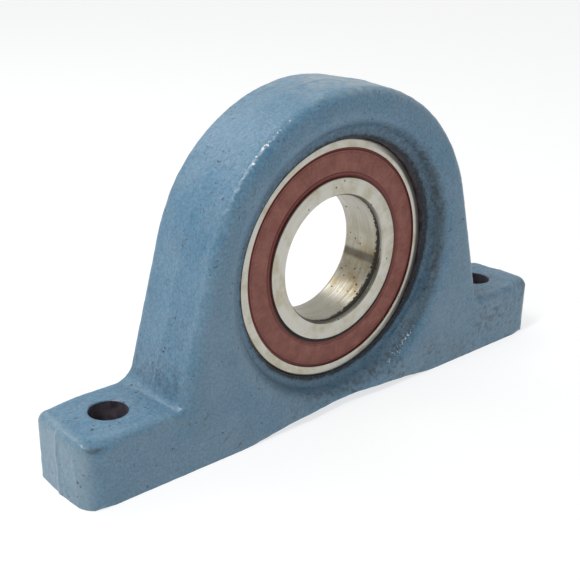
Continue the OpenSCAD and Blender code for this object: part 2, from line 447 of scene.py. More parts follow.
@dataclass(frozen=True)
class GroundBearingSteel(Finish):
    """Through-hardened bearing steel, ground all over and lightly stained.

    Grinding leaves hair-fine rings about the axis, handling leaves dull spots, and old oil dries to a warm
    tint. The piece's own origin lies on the axis, so the rings run true as it turns.
    """

    steel: str = "#bdbbb2"
    oil_tint: str = "#a8a18b"
    stain: str = "#2e2925"
    # The grinding marks are a few hundredths apart. They are drawn as coarse as they need to show.
    hair_mm: float = 0.8
    blotch_mm: float = 7.0
    spot_mm: float = 2.6

    def polar(self, tree: Tree, place: Socket) -> tuple[Socket, Socket, Socket]:
        """Turn a position into turning coordinates about the piece's own axis.

        Args:
            tree: The material's node tree.
            place: Position on the piece, in metres.

        Returns:
            Distance from the axis, distance along it, and angle about it.
        """
        parts = add_node(tree, "SeparateXYZ", inputs={0: place})
        angle = add_node(tree, "Math", {"operation": "ARCTAN2"}, {
            0: parts.outputs["Z"], 1: parts.outputs["X"]})
        flat = add_node(tree, "CombineXYZ", inputs={0: parts.outputs["X"], 1: 0.0, 2: parts.outputs["Z"]})
        radius = add_node(tree, "VectorMath", {"operation": "LENGTH"}, {0: flat.outputs[0]})
        return radius.outputs["Value"], parts.outputs["Y"], angle.outputs[0]

    def window(self, tree: Tree, value: Socket, middle: float, inner: float, outer: float) -> Socket:
        """Make a mask that is 1 near a middle value and fades to 0.

        Args:
            tree: The material's node tree.
            value: What is tested.
            middle: Middle of the window.
            inner: Distance from the middle where the mask starts to fade.
            outer: Distance from the middle where it is gone.

        Returns:
            The mask.
        """
        shifted = add_node(tree, "Math", {"operation": "SUBTRACT"}, {0: value, 1: middle})
        off = add_node(tree, "Math", {"operation": "ABSOLUTE"}, {0: shifted.outputs[0]})
        return add_node(tree, "MapRange", SMOOTH, {
            "Value": off.outputs[0], "From Min": inner, "From Max": outer,
            "To Min": 1.0, "To Max": 0.0}).outputs[0]

    def darken_steel(
        self, tree: Tree, place: Socket, hairs: Socket, metal: Socket, marked: Socket
    ) -> tuple[Socket, Socket]:
        """Leave the steel as it is. A dirtier ring adds its dirt here, and the outer ring its painted
        reflection.
        """
        return metal, marked

    def wire(self, tree: Tree, shader: Node, place: Socket) -> None:
        """Grind, tint and stain the steel.

        Args:
            tree: The material's node tree.
            shader: Its Principled BSDF.
            place: Position on the piece, in metres.
        """
        radius, along, angle = self.polar(tree, place)
        # Along the grind a mark is about fifty times as long as it is wide.
        sweep = add_node(tree, "Math", {"operation": "MULTIPLY"}, {0: angle, 1: 0.0006})
        ground = add_node(tree, "CombineXYZ", inputs={0: radius, 1: along, 2: sweep.outputs[0]})
        hairs = add_node(tree, "TexNoise", inputs={
            "Vector": ground.outputs[0], "Scale": per_size(self.hair_mm), "Detail": 3.0, "Roughness": 0.7})
        blotch = add_node(tree, "TexNoise", inputs={
            "Vector": place, "Scale": per_size(self.blotch_mm), "Detail": 5.0, "Roughness": 0.62})
        tinted = add_node(tree, "MapRange", inputs={
            "Value": blotch.outputs["Fac"], "From Min": 0.45, "From Max": 0.66, "To Max": 0.9})
        metal = add_node(tree, "Mix", COLOURS, {
            MIX_FACTOR: tinted.outputs[0], MIX_A: srgb(self.steel), MIX_B: srgb(self.oil_tint)})
        spots = add_node(tree, "TexVoronoi", {"feature": "F1"}, {
            "Vector": place, "Scale": per_size(self.spot_mm)})
        pick = add_node(tree, "TexWhiteNoise", {"noise_dimensions": "3D"}, {
            "Vector": spots.outputs["Position"]})
        few = add_node(tree, "Math", {"operation": "GREATER_THAN"}, {0: pick.outputs["Value"], 1: 0.93})
        small = add_node(tree, "MapRange", inputs={
            "Value": spots.outputs["Distance"], "From Min": 0.08, "From Max": 0.2,
            "To Min": 0.8, "To Max": 0.0})
        spot = add_node(tree, "Math", {"operation": "MULTIPLY"}, {0: few.outputs[0], 1: small.outputs[0]})
        bright, marked = self.darken_steel(
            tree, place, hairs.outputs["Fac"], metal.outputs[MIX_RESULT], spot.outputs[0])
        colour = add_node(tree, "Mix", COLOURS, {
            MIX_FACTOR: marked, MIX_A: bright, MIX_B: srgb(self.stain)})
        tree.links.new(colour.outputs[MIX_RESULT], shader.inputs["Base Color"])
        clean = add_node(tree, "MapRange", inputs={
            "Value": marked, "From Min": 0.0, "From Max": 1.0, "To Min": 1.0, "To Max": 0.25})
        tree.links.new(clean.outputs[0], shader.inputs["Metallic"])
        worn = add_node(tree, "MapRange", inputs={
            "Value": hairs.outputs["Fac"], **NOISE_SPREAD, "To Min": 0.24, "To Max": 0.44})
        dull = add_node(tree, "Math", {"operation": "MULTIPLY_ADD", "use_clamp": True}, {
            0: marked, 1: 0.4, 2: worn.outputs[0]})
        tree.links.new(dull.outputs[0], shader.inputs["Roughness"])
        marks = add_node(tree, "Bump", inputs={
            "Strength": 0.35, "Distance": 0.02 * MM, "Height": hairs.outputs["Fac"]})
        tree.links.new(marks.outputs[0], shader.inputs["Normal"])


@dataclass(frozen=True)
class PaintedRimReflectionSteel(GroundBearingSteel):
    """Ground ring steel with a painted dark reflection of the housing's recess wall on its outer edge, down
    one side.
    """

    # The painted reflection darkens from the first radius to the second, most at this angle in radians from
    # the right.
    reflection_start_mm: float = 39.9
    reflection_full_mm: float = 41.0
    reflection_angle: float = 0.1

    def darken_steel(
        self, tree: Tree, place: Socket, hairs: Socket, metal: Socket, marked: Socket
    ) -> tuple[Socket, Socket]:
        """Paint the dark reflection of the recess wall onto the outer edge.

        Args:
            tree: The material's node tree.
            place: Position on the piece, in metres.
            hairs: The noise of the grinding marks.
            metal: Colour of the clean steel.
            marked: The mask of dark spots so far.

        Returns:
            The steel's colour and the mask of dark spots, with the painted reflection in it.
        """
        radius, _, angle = self.polar(tree, place)
        ragged = add_node(tree, "MapRange", inputs={
            "Value": hairs, **NOISE_SPREAD, "To Min": -0.3 * MM, "To Max": 0.3 * MM})
        reach = add_node(tree, "Math", {"operation": "ADD"}, {0: radius, 1: ragged.outputs[0]})
        edge = add_node(tree, "MapRange", SMOOTH, {
            "Value": reach.outputs[0], "From Min": self.reflection_start_mm * MM, "From Max": self.reflection_full_mm * MM,
            "To Min": 0.0, "To Max": 0.85})
        side = self.window(tree, angle, self.reflection_angle, 0.6, 1.25)
        rim_reflection = add_node(tree, "Math", {"operation": "MULTIPLY"}, {0: edge.outputs[0], 1: side})
        darkest = add_node(tree, "Math", {"operation": "MAXIMUM"}, {0: rim_reflection.outputs[0], 1: marked})
        return metal, darkest.outputs[0]


@dataclass(frozen=True)
class ShaftSoiledSteel(GroundBearingSteel):
    """Ground ring steel whose bore has sat on a shaft.

    The bore is dulled and streaked round its length, browned with old oil low on one side, pitted there,
    crossed by one dark smear, and edged with a black band of grease behind the front chamfer.
    """

    dulled: str = "#8f8a7b"
    browned: str = "#8a7850"
    # Radius inside which the shaft's marks lie.
    bore_mm: float = 22.9
    crumb_mm: float = 0.9
    cloud_mm: float = 5.0
    pit_mm: float = 1.7
    # Middles of the marks, in radians about the axis from the right.
    browned_angle: float = -0.5
    smear_angle: float = -0.265
    drag_angle: float = -0.8

    def darken_steel(
        self, tree: Tree, place: Socket, hairs: Socket, metal: Socket, marked: Socket
    ) -> tuple[Socket, Socket]:
        """Dull, stain and smear the bore.

        Args:
            tree: The material's node tree.
            place: Position on the piece, in metres.
            hairs: The noise of the grinding marks.
            metal: Colour of the clean steel.
            marked: The mask of dark spots so far.

        Returns:
            The steel's colour and the mask of dark spots, with the bore's dirt in them.
        """
        radius, along, angle = self.polar(tree, place)
        inside = add_node(tree, "Math", {"operation": "LESS_THAN"}, {
            0: radius, 1: self.bore_mm * MM}).outputs[0]
        crumbs = add_node(tree, "TexNoise", inputs={
            "Vector": place, "Scale": per_size(self.crumb_mm), "Detail": 3.0,
            "Roughness": 0.65}).outputs["Fac"]
        cloud = add_node(tree, "TexNoise", inputs={
            "Vector": place, "Scale": per_size(self.cloud_mm), "Detail": 4.0,
            "Roughness": 0.6}).outputs["Fac"]

        streak = add_node(tree, "MapRange", inputs={
            "Value": hairs, "From Min": 0.35, "From Max": 0.65, "To Min": 0.38, "To Max": 0.7})
        dull = add_node(tree, "Math", {"operation": "MULTIPLY"}, {0: inside, 1: streak.outputs[0]})
        worked = add_node(tree, "Mix", COLOURS, {
            MIX_FACTOR: dull.outputs[0], MIX_A: metal, MIX_B: srgb(self.dulled)})
        patchy = add_node(tree, "MapRange", inputs={
            "Value": cloud, "From Min": 0.38, "From Max": 0.66, "To Min": 0.0, "To Max": 0.8})
        low_side = self.window(tree, angle, self.browned_angle, 0.3, 0.6)
        oily = add_node(tree, "Math", {"operation": "MULTIPLY"}, {0: low_side, 1: patchy.outputs[0]})
        oily_inside = add_node(tree, "Math", {"operation": "MULTIPLY"}, {0: oily.outputs[0], 1: inside})
        browned = add_node(tree, "Mix", COLOURS, {
            MIX_FACTOR: oily_inside.outputs[0], MIX_A: worked.outputs[MIX_RESULT],
            MIX_B: srgb(self.browned)})

        # The band of grease is ragged, and widest low on the right, where the shaft last dragged it.
        ragged = add_node(tree, "MapRange", inputs={
            "Value": crumbs, **NOISE_SPREAD, "To Min": -0.8 * MM, "To Max": 0.8 * MM})
        turned = add_node(tree, "Math", {"operation": "ADD"}, {0: angle, 1: -self.drag_angle})
        drag = add_node(tree, "Math", {"operation": "COSINE"}, {0: turned.outputs[0]})
        wide = add_node(tree, "MapRange", inputs={
            "Value": drag.outputs[0], "From Min": 0.0, "From Max": 1.0,
            "To Min": 0.4 * MM, "To Max": -0.9 * MM})
        depth = add_node(tree, "Math", {"operation": "ADD"}, {0: along, 1: ragged.outputs[0]})
        level = add_node(tree, "Math", {"operation": "ADD"}, {0: depth.outputs[0], 1: wide.outputs[0]})
        band = add_node(tree, "MapRange", SMOOTH, {
            "Value": level.outputs[0], "From Min": -7.4 * MM, "From Max": -6.8 * MM,
            "To Min": 0.95, "To Max": 0.0})
        starts = add_node(tree, "MapRange", SMOOTH, {
            "Value": along, "From Min": -8.5 * MM, "From Max": -8.2 * MM, "To Min": 0.15, "To Max": 1.0})
        ring = add_node(tree, "Math", {"operation": "MULTIPLY"}, {0: band.outputs[0], 1: starts.outputs[0]})

        smear = self.window(tree, angle, self.smear_angle, 0.03, 0.1)
        thin = add_node(tree, "Math", {"operation": "MULTIPLY"}, {0: smear, 1: 0.5})
        cells = add_node(tree, "TexVoronoi", {"feature": "F1"}, {
            "Vector": place, "Scale": per_size(self.pit_mm)})
        pick = add_node(tree, "TexWhiteNoise", {"noise_dimensions": "3D"}, {
            "Vector": cells.outputs["Position"]})
        # Pits crowd the browned side and the rear end of the bore.
        rear_end = add_node(tree, "MapRange", inputs={
            "Value": along, "From Min": 3.0 * MM, "From Max": 9.0 * MM, "To Min": 0.0, "To Max": 0.6})
        crowd = add_node(tree, "Math", {"operation": "MAXIMUM"}, {0: low_side, 1: rear_end.outputs[0]})
        share = add_node(tree, "MapRange", inputs={
            "Value": crowd.outputs[0], "To Min": 0.03, "To Max": 0.34})
        pitted = add_node(tree, "Math", {"operation": "LESS_THAN"}, {
            0: pick.outputs["Value"], 1: share.outputs[0]})
        pit = add_node(tree, "MapRange", inputs={
            "Value": cells.outputs["Distance"], "From Min": 0.14, "From Max": 0.26,
            "To Min": 0.9, "To Max": 0.0})
        pits = add_node(tree, "Math", {"operation": "MULTIPLY"}, {0: pitted.outputs[0], 1: pit.outputs[0]})
        dirt = ring.outputs[0]
        for more in (thin.outputs[0], pits.outputs[0]):
            dirt = add_node(tree, "Math", {"operation": "MAXIMUM"}, {0: dirt, 1: more}).outputs[0]
        within = add_node(tree, "Math", {"operation": "MULTIPLY"}, {0: dirt, 1: inside})
        darkest = add_node(tree, "Math", {"operation": "MAXIMUM"}, {0: within.outputs[0], 1: marked})
        return browned.outputs[MIX_RESULT], darkest.outputs[0]


@dataclass(frozen=True)
class NitrileRubber(Finish):
    """Moulded nitrile rubber filled with iron oxide: matt red-brown, faintly mottled, with painted shade in
    its grooves.
    """

    rubber: str = "#7c3f34"
    scuffed: str = "#92594d"
    groove: str = "#661a16"
    grease: str = "#181415"
    mottle_mm: float = 5.0
    fleck_mm: float = 1.3
    grain_mm: float = 0.5
    # Radii of the greased lip, the groove beside it and the groove inside the rim bead.
    lip_mm: float = 30.2
    lip_groove_mm: float = 30.5
    rim_groove_mm: float = 38.15

    def wire(self, tree: Tree, shader: Node, place: Socket) -> None:
        """Colour the rubber, with painted shade in the grooves at its rims.

        Args:
            tree: The material's node tree.
            shader: Its Principled BSDF.
            place: Position on the piece, in metres.
        """
        parts = add_node(tree, "SeparateXYZ", inputs={0: place})
        flat = add_node(tree, "CombineXYZ", inputs={0: parts.outputs["X"], 1: 0.0, 2: parts.outputs["Z"]})
        radius = add_node(tree, "VectorMath", {"operation": "LENGTH"}, {0: flat.outputs[0]})
        mottle = add_node(tree, "TexNoise", inputs={
            "Vector": place, "Scale": per_size(self.mottle_mm), "Detail": 5.0, "Roughness": 0.65})
        grain = add_node(tree, "TexNoise", inputs={
            "Vector": place, "Scale": per_size(self.grain_mm), "Detail": 2.0})
        scuff = add_node(tree, "MapRange", inputs={
            "Value": mottle.outputs["Fac"], "From Min": 0.4, "From Max": 0.68})
        plain = add_node(tree, "Mix", COLOURS, {
            MIX_FACTOR: scuff.outputs[0], MIX_A: srgb(self.rubber), MIX_B: srgb(self.scuffed)})
        # Talc and dirt sit in the skin of the moulding as fine lighter and darker flecks.
        fleck = add_node(tree, "TexNoise", inputs={
            "Vector": place, "Scale": per_size(self.fleck_mm), "Detail": 3.0, "Roughness": 0.7})
        shade = add_node(tree, "MapRange", inputs={
            "Value": fleck.outputs["Fac"], **NOISE_SPREAD, "To Min": 0.84, "To Max": 1.18})
        skin = add_node(tree, "Mix", TINTING, {
            MIX_FACTOR: 1.0, MIX_A: plain.outputs[MIX_RESULT], MIX_B: shade.outputs[0]})
        # Painted shade: the grooves beside the lip and inside the rim bead are coloured dark red.
        inner = add_node(tree, "MapRange", SMOOTH, {
            "Value": radius.outputs["Value"], "From Min": self.lip_groove_mm * MM,
            "From Max": (self.lip_groove_mm + 0.45) * MM, "To Min": 0.7, "To Max": 0.0})
        outer = add_node(tree, "MapRange", SMOOTH, {
            "Value": radius.outputs["Value"], "From Min": (self.rim_groove_mm - 0.3) * MM,
            "From Max": self.rim_groove_mm * MM, "To Min": 0.0, "To Max": 0.9})
        groove_shade = add_node(tree, "Math", {"operation": "MAXIMUM"}, {0: inner.outputs[0], 1: outer.outputs[0]})
        colour = add_node(tree, "Mix", COLOURS, {
            MIX_FACTOR: groove_shade.outputs[0], MIX_A: skin.outputs[MIX_RESULT], MIX_B: srgb(self.groove)})
        # Old grease and dirt gather where the lip meets the ring, most of all on the low side.
        low = add_node(tree, "MapRange", SMOOTH, {
            "Value": parts.outputs["Z"], "From Min": -22 * MM, "From Max": -4 * MM,
            "To Min": 1.0, "To Max": 0.1})
        ragged = add_node(tree, "MapRange", inputs={
            "Value": grain.outputs["Fac"], **NOISE_SPREAD, "To Min": -0.25 * MM, "To Max": 0.25 * MM})
        reach = add_node(tree, "Math", {"operation": "ADD"}, {
            0: radius.outputs["Value"], 1: ragged.outputs[0]})
        lip = add_node(tree, "MapRange", SMOOTH, {
            "Value": reach.outputs[0], "From Min": (self.lip_mm - 0.6) * MM, "From Max": self.lip_mm * MM,
            "To Min": 1.0, "To Max": 0.0})
        greasy = add_node(tree, "Math", {"operation": "MULTIPLY"}, {0: low.outputs[0], 1: lip.outputs[0]})
        soiled = add_node(tree, "Mix", COLOURS, {
            MIX_FACTOR: greasy.outputs[0], MIX_A: colour.outputs[MIX_RESULT], MIX_B: srgb(self.grease)})
        tree.links.new(soiled.outputs[MIX_RESULT], shader.inputs["Base Color"])
        matt = add_node(tree, "MapRange", inputs={
            "Value": mottle.outputs["Fac"], **NOISE_SPREAD, "To Min": 0.5, "To Max": 0.64})
        tree.links.new(matt.outputs[0], shader.inputs["Roughness"])
        shader.inputs["IOR"].default_value = 1.52
        pebble = add_node(tree, "Bump", inputs={
            "Strength": 0.35, "Distance": 0.06 * MM, "Height": grain.outputs["Fac"]})
        tree.links.new(pebble.outputs[0], shader.inputs["Normal"])


@dataclass(frozen=True)
class LappedBallSteel(Finish):
    """Lapped bearing balls: mirror bright, under a thin film of grease that breaks up the reflections."""

    steel: str = "#d6d7d8"
    film_mm: float = 3.0

    def wire(self, tree: Tree, shader: Node, place: Socket) -> None:
        """Polish the steel and smear it lightly.

        Args:
            tree: The material's node tree.
            shader: Its Principled BSDF.
            place: Position on the piece, in metres.
        """
        film = add_node(tree, "TexNoise", inputs={
            "Vector": place, "Scale": per_size(self.film_mm), "Detail": 3.0})
        smear = add_node(tree, "MapRange", inputs={
            "Value": film.outputs["Fac"], "From Min": 0.4, "From Max": 0.7, "To Min": 0.06, "To Max": 0.22})
        tree.links.new(smear.outputs[0], shader.inputs["Roughness"])
        shader.inputs["Base Color"].default_value = srgb(self.steel)
        shader.inputs["Metallic"].default_value = 1.0


@dataclass(frozen=True)
class PressedStrip(Finish):
    """Cold-rolled steel strip, pressed and tumbled: even grey, softly rough, with a trace of oil."""

    steel: str = "#9c9a94"
    oily: str = "#7f7b70"
    film_mm: float = 4.0
    tumble_mm: float = 0.3

    def wire(self, tree: Tree, shader: Node, place: Socket) -> None:
        """Tumble the strip and oil it.

        Args:
            tree: The material's node tree.
            shader: Its Principled BSDF.
            place: Position on the piece, in metres.
        """
        film = add_node(tree, "TexNoise", inputs={
            "Vector": place, "Scale": per_size(self.film_mm), "Detail": 4.0})
        tumble = add_node(tree, "TexNoise", inputs={
            "Vector": place, "Scale": per_size(self.tumble_mm), "Detail": 2.0})
        oil = add_node(tree, "MapRange", inputs={
            "Value": film.outputs["Fac"], "From Min": 0.4, "From Max": 0.65})
        colour = add_node(tree, "Mix", COLOURS, {
            MIX_FACTOR: oil.outputs[0], MIX_A: srgb(self.steel), MIX_B: srgb(self.oily)})
        tree.links.new(colour.outputs[MIX_RESULT], shader.inputs["Base Color"])
        rough = add_node(tree, "MapRange", inputs={
            "Value": tumble.outputs["Fac"], **NOISE_SPREAD, "To Min": 0.3, "To Max": 0.45})
        tree.links.new(rough.outputs[0], shader.inputs["Roughness"])
        shader.inputs["Metallic"].default_value = 1.0
        dents = add_node(tree, "Bump", inputs={
            "Strength": 0.2, "Distance": 0.03 * MM, "Height": tumble.outputs["Fac"]})
        tree.links.new(dents.outputs[0], shader.inputs["Normal"])


@dataclass(frozen=True)
class StudioBoard(Finish):
    """White acrylic board lit softly from below, so that shadows on it stay faint."""

    board: str = "#9a9b9c"
    glow: float = 0.68

    def wire(self, tree: Tree, shader: Node, place: Socket) -> None:
        """Colour the board evenly.

        Args:
            tree: The material's node tree.
            shader: Its Principled BSDF.
            place: Position on the piece, in metres.
        """
        shader.inputs["Base Color"].default_value = srgb(self.board)
        shader.inputs["Roughness"].default_value = 0.9
        shader.inputs["Emission Color"].default_value = (1, 1, 1, 1)
        shader.inputs["Emission Strength"].default_value = self.glow


# ---------------------------------------------------------------------------------------------------------
# The casting
# ---------------------------------------------------------------------------------------------------------


def round_meet(a: np.ndarray, b: np.ndarray, radius: np.ndarray | float) -> np.ndarray:
    """Intersect two distance fields, with the edge between them rounded."""
    past = np.hypot(np.maximum(a + radius, 0), np.maximum(b + radius, 0))
    return np.minimum(np.maximum(a, b), -radius) + past


def round_join(a: np.ndarray, b: np.ndarray, radius: np.ndarray | float) -> np.ndarray:
    """Join two distance fields, with the corner between them filleted."""
    past = np.hypot(np.maximum(radius - a, 0), np.maximum(radius - b, 0))
    return np.maximum(np.minimum(a, b), radius) - past


def skin_of(
    field_at: Callable[[np.ndarray], np.ndarray], axes: tuple[np.ndarray, np.ndarray, np.ndarray]
) -> tuple[np.ndarray, np.ndarray]:
    """Wrap the zero level of a distance field in quads, with one point in each cell that it crosses.

    Args:
        field_at: Function from points in millimetres to distances, negative inside.
        axes: The grid's X, Y and Z positions, which may be unevenly spaced.

    Returns:
        The points, and four point numbers for each face.
    """
    grid = np.stack(np.meshgrid(*axes, indexing="ij"), axis=-1)
    value = field_at(grid.reshape(-1, 3)).reshape(grid.shape[:3])
    inside = value < 0
    cells = tuple(n - 1 for n in value.shape)
    total, hits = np.zeros((*cells, 3)), np.zeros(cells)
    crossings = []
    for axis in range(3):
        low = tuple(slice(0, -1) if i == axis else slice(None) for i in range(3))
        high = tuple(slice(1, None) if i == axis else slice(None) for i in range(3))
        where = np.argwhere(inside[low] != inside[high])
        step = np.zeros(3, int)
        step[axis] = 1
        start, end = tuple(where.T), tuple((where + step).T)
        share = (value[start] / (value[start] - value[end]))[:, None]
        point = grid[start] * (1 - share) + grid[end] * share
        across = [i for i in range(3) if i != axis]
        around = []
        for u, v in ((-1, -1), (0, -1), (0, 0), (-1, 0)):
            cell = where.copy()
            cell[:, across[0]] += u
            cell[:, across[1]] += v
            around.append(cell)
            np.add.at(total, tuple(cell.T), point)
            np.add.at(hits, tuple(cell.T), 1)
        flip = inside[start] if axis != 1 else ~inside[start]
        crossings.append((np.stack(around, axis=1), flip))
    number = np.full(cells, -1)
    used = hits > 0
    number[used] = np.arange(used.sum())
    points = total[used] / hits[used][:, None]
    faces = []
    for around, flip in crossings:
        quad = number[tuple(around.reshape(-1, 3).T)].reshape(-1, 4)
        quad[~flip] = quad[~flip][:, ::-1]
        faces.append(quad)
    return points, np.concatenate(faces)


@dataclass
class CastHousing:
    """The iron casting: arch, flanks, feet and dished faces, then its bored seat and drilled feet."""

    axis_height: float
    half_length: float
    half_width: float
    bolt_reach: float
    bolt_radius: float
    bearing_y: float
    bolt_chamfer: float = 0.45
    arch_radius: float = 60.3
    flank_reach: float = 71.2
    foot_height: float = 22.4
    crown: float = 0.65
    seam: float = 0.25
    seam_width: float = 1.0
    mould_shift: float = 0.16
    shrinkage: float = 0.17
    edge_round: float = 3.7
    foot_edge_round: float = 2.3
    corner_round: float = 6.5
    toe_fillet: float = 4.5
    front_toe_fillet: float = 1.6
    relief_span: float = 80.0
    relief_depth: float = 2.6
    recess_radius: float = 54.0
    front_recess: float = 6.5
    floor_tilt: float = 0.03
    rear_recess: float = 2.5
    rim_round: float = 8.0
    floor_fillet: float = 1.5
    mouth_chamfer: float = 0.8
    seat_radius: float = 42.5
    ring_half: float = 9.5
    shoulder_radius: float = 39.5
    grid_mm: float = 0.8
    seam_grid_mm: float = 0.35

    def flank_angle(self) -> float:
        """Work out the lean of the flanks, which run tangent from the arch to the feet.

        Returns:
            Their angle from upright, in radians.
        """
        drop = self.axis_height - self.foot_height
        span = math.hypot(self.flank_reach, drop)
        return math.acos(self.arch_radius / span) - math.atan2(drop, self.flank_reach)

    def distance(self, points: np.ndarray) -> np.ndarray:
        """Measure how far points lie outside the raw casting.

        Args:
            points: Positions in millimetres, one per row.

        Returns:
            Distances, negative inside the iron.
        """
        x, y, z = points.T
        u, w = np.abs(x), z - self.axis_height
        lean = self.flank_angle()
        away = np.abs(y)
        flat = self.half_width - self.edge_round
        # The two mould halves meet a little out of line, with a flash that is plainest on the foot ends.
        meander = y + 0.35 * np.sin(z / 3.1) + 0.2 * np.sin(z / 1.3 + 1)
        flash = 0.2 + 0.8 * ease(u, self.half_length - 6, self.half_length - 2)
        swell = self.crown * np.clip(1 - away / flat, 0, 1)
        swell += self.seam * flash * near(meander, 0, self.seam_width)
        swell -= self.mould_shift * flash * ease(meander, -0.8, 0.8)

        reach = np.hypot(u, w)
        below = u * math.sin(lean) - w * math.cos(lean) > 0
        body = np.where(below, u * math.cos(lean) + w * math.sin(lean), reach) - self.arch_radius - swell
        end = u - (self.half_length - self.crown - self.seam) - swell
        foot_round = self.foot_edge_round + (self.edge_round - self.foot_edge_round) * ease(y, -7, 7)
        foot = round_meet(end, z - self.foot_height, foot_round)
        # The fillet at the foot of each flank was raked tighter on the front half of the mould.
        toe = self.front_toe_fillet + (self.toe_fillet - self.front_toe_fillet) * ease(y, -2, 11)
        outline = round_join(body, foot, toe)
        arch_under = 4 * self.relief_depth / self.relief_span ** 2
        underside = self.relief_depth - arch_under * x ** 2
        outline = np.maximum(outline, np.maximum(underside, -3.0) - z)

        near_end = ease(u, self.half_length - 16, self.half_length - 4)
        upper = ease(z, 4, 12)
        on_foot = ease(u, self.flank_reach - 1, self.flank_reach + 4) * (1 - ease(z, 24, 30))
        top_round = self.edge_round + (foot_round - self.edge_round) * on_foot
        radius = 1.0 + (top_round - 1.0) * upper
        radius = radius * (1 - near_end) + self.corner_round * near_end
        # Each face rolls over into its recess in one large rounding, down to a narrow floor round the seat.
        rolled = []
        for side, depth in ((-1, self.front_recess - self.floor_tilt * w), (1, self.rear_recess)):
            sunk = self.half_width - side * y
            rim = round_meet(self.recess_radius - self.rim_round - reach, -sunk, self.rim_round)
            rolled.append(round_join(rim, depth - sunk, self.floor_fillet))
        return round_meet(outline, np.maximum(*rolled), radius)

    def slope(self, points: np.ndarray) -> np.ndarray:
        """Find which way is out of the raw casting.

        Args:
            points: Positions in millimetres, one per row.

        Returns:
            Unit vectors, one per row.
        """
        nudge = 0.05
        parts = []
        for axis in range(3):
            step = np.zeros(3)
            step[axis] = nudge
            parts.append(self.distance(points + step) - self.distance(points - step))
        gradient = np.stack(parts, axis=1) / (2 * nudge)
        return gradient / np.maximum(np.linalg.norm(gradient, axis=1, keepdims=True), 1e-6)

    def skin(self) -> tuple[np.ndarray, np.ndarray]:
        """Make the raw casting's skin, with the unevenness that the sand leaves.

        Returns:
            The points in millimetres, and four point numbers for each face.
        """
        step = self.grid_mm
        wide, top = self.half_length + 2, self.axis_height + self.arch_radius + 3
        fine = np.arange(-4, 5) * self.seam_grid_mm
        outer = np.arange(fine[-1] + step, self.half_width + 2, step)
        across = np.concatenate([-outer[::-1], fine, outer])
        toe = np.arange(self.flank_reach - 2, self.flank_reach + 5, step / 2)
        inner = np.arange(0, toe[0] - step / 2, step)
        half = np.concatenate([inner + step / 2, toe, np.arange(toe[-1] + step, wide, step)])
        axes = (np.concatenate([-half[::-1], half]), across, np.arange(-5, top, step) + step / 3)
        points, faces = skin_of(self.distance, axes)
        for _ in range(3):
            points -= self.slope(points) * self.distance(points)[:, None]
        outward = self.slope(points)
        # The cope side of the arch shows the sand most. The faces and the feet were rammed smoother.
        coarse = 0.45 + 0.55 * ease(np.hypot(points[:, 0], points[:, 2] - self.axis_height), 56.5, 59.5)
        warp = 0.12 * speckle(points, 19.0, 3.1) + 0.07 * speckle(points, 7.0, 11.7)
        sand = 0.08 * speckle(points, 3.1, 23.9) + 0.07 * speckle(points, 1.8, 37.3)
        # The skin is drawn in a little, so that its swells stay inside the block's stated size.
        shift = warp + coarse * sand - self.shrinkage
        points += outward * shift[:, None]
        crest = self.axis_height + self.arch_radius + self.crown + self.seam
        limit = np.array([self.half_length, self.half_width, crest])
        points = np.clip(points, [-limit[0], -limit[1], -4], limit)
        return points, faces

    def cutters(self) -> bpy.types.Object:
        """Make the boring bar's and the drill's cuts.

        Returns:
            One object that holds all three cuts.
        """
        mouth = self.front_recess - self.half_width
        back = self.bearing_y + self.ring_half
        past = self.half_width + 10
        chamfer_edge = self.seat_radius + self.mouth_chamfer + 0.5
        seat = [
            (0, -past), (chamfer_edge, -past), (chamfer_edge, mouth - 0.5),
            (self.seat_radius, mouth + self.mouth_chamfer), (self.seat_radius, back),
            (self.shoulder_radius, back), (self.shoulder_radius, past), (0, past),
        ]
        under, over, flare = -10.0, self.foot_height + 12, 3.0
        lip = self.foot_height - self.bolt_chamfer
        drill = [
            (0, under), (self.bolt_radius, under), (self.bolt_radius, lip),
            (self.bolt_radius + flare, lip + flare), (self.bolt_radius + flare, over), (0, over),
        ]
        work = bmesh.new()
        seat_mesh = turn_profile("seat_cut", seat, 360)
        for point in seat_mesh.vertices:
            if point.co.y < (mouth + self.mouth_chamfer + 0.1) * MM:
                point.co.y -= self.floor_tilt * point.co.z
        seat_mesh.transform(Matrix.Translation((0, 0, self.axis_height * MM)))
        work.from_mesh(seat_mesh)
        for side in (-1, 1):
            drilled = turn_profile("drill_cut", drill, 96)
            drilled.transform(Matrix.Rotation(math.pi / 2, 4, "X"))
            drilled.transform(Matrix.Translation((side * self.bolt_reach * MM, 0, 0)))
            work.from_mesh(drilled)
        bmesh.ops.recalc_face_normals(work, faces=work.faces)
        cuts = bpy.data.meshes.new("machining_cuts")
        work.to_mesh(cuts)
        work.free()
        return new_object("machining_cuts", cuts)

    def machine(self, raw: bpy.types.Mesh) -> bpy.types.Mesh:
        """Bore the seat, drill the feet and plane the base.

        Args:
            raw: The raw casting.

        Returns:
            The machined casting's mesh.
        """
        work = bmesh.new()
        work.from_mesh(raw)
        everything = work.verts[:] + work.edges[:] + work.faces[:]
        down = (0, 0, -1)
        bmesh.ops.bisect_plane(work, geom=everything, plane_co=(0, 0, 0), plane_no=down, clear_outer=True)
        rim = [e for e in work.edges if e.is_boundary]
        bmesh.ops.triangle_fill(work, edges=rim, use_beauty=True, normal=down)
        bmesh.ops.recalc_face_normals(work, faces=work.faces)
        work.to_mesh(raw)
        work.free()
        block = new_object("casting_blank", raw)
        cuts = self.cutters()
        bore = block.modifiers.new("machining", "BOOLEAN")
        bore.operation = "DIFFERENCE"
        bore.solver = "EXACT"
        bore.object = cuts
        made = bpy.data.meshes.new_from_object(block.evaluated_get(bpy.context.evaluated_depsgraph_get()))
        bpy.data.objects.remove(block)
        bpy.data.objects.remove(cuts)
        return made

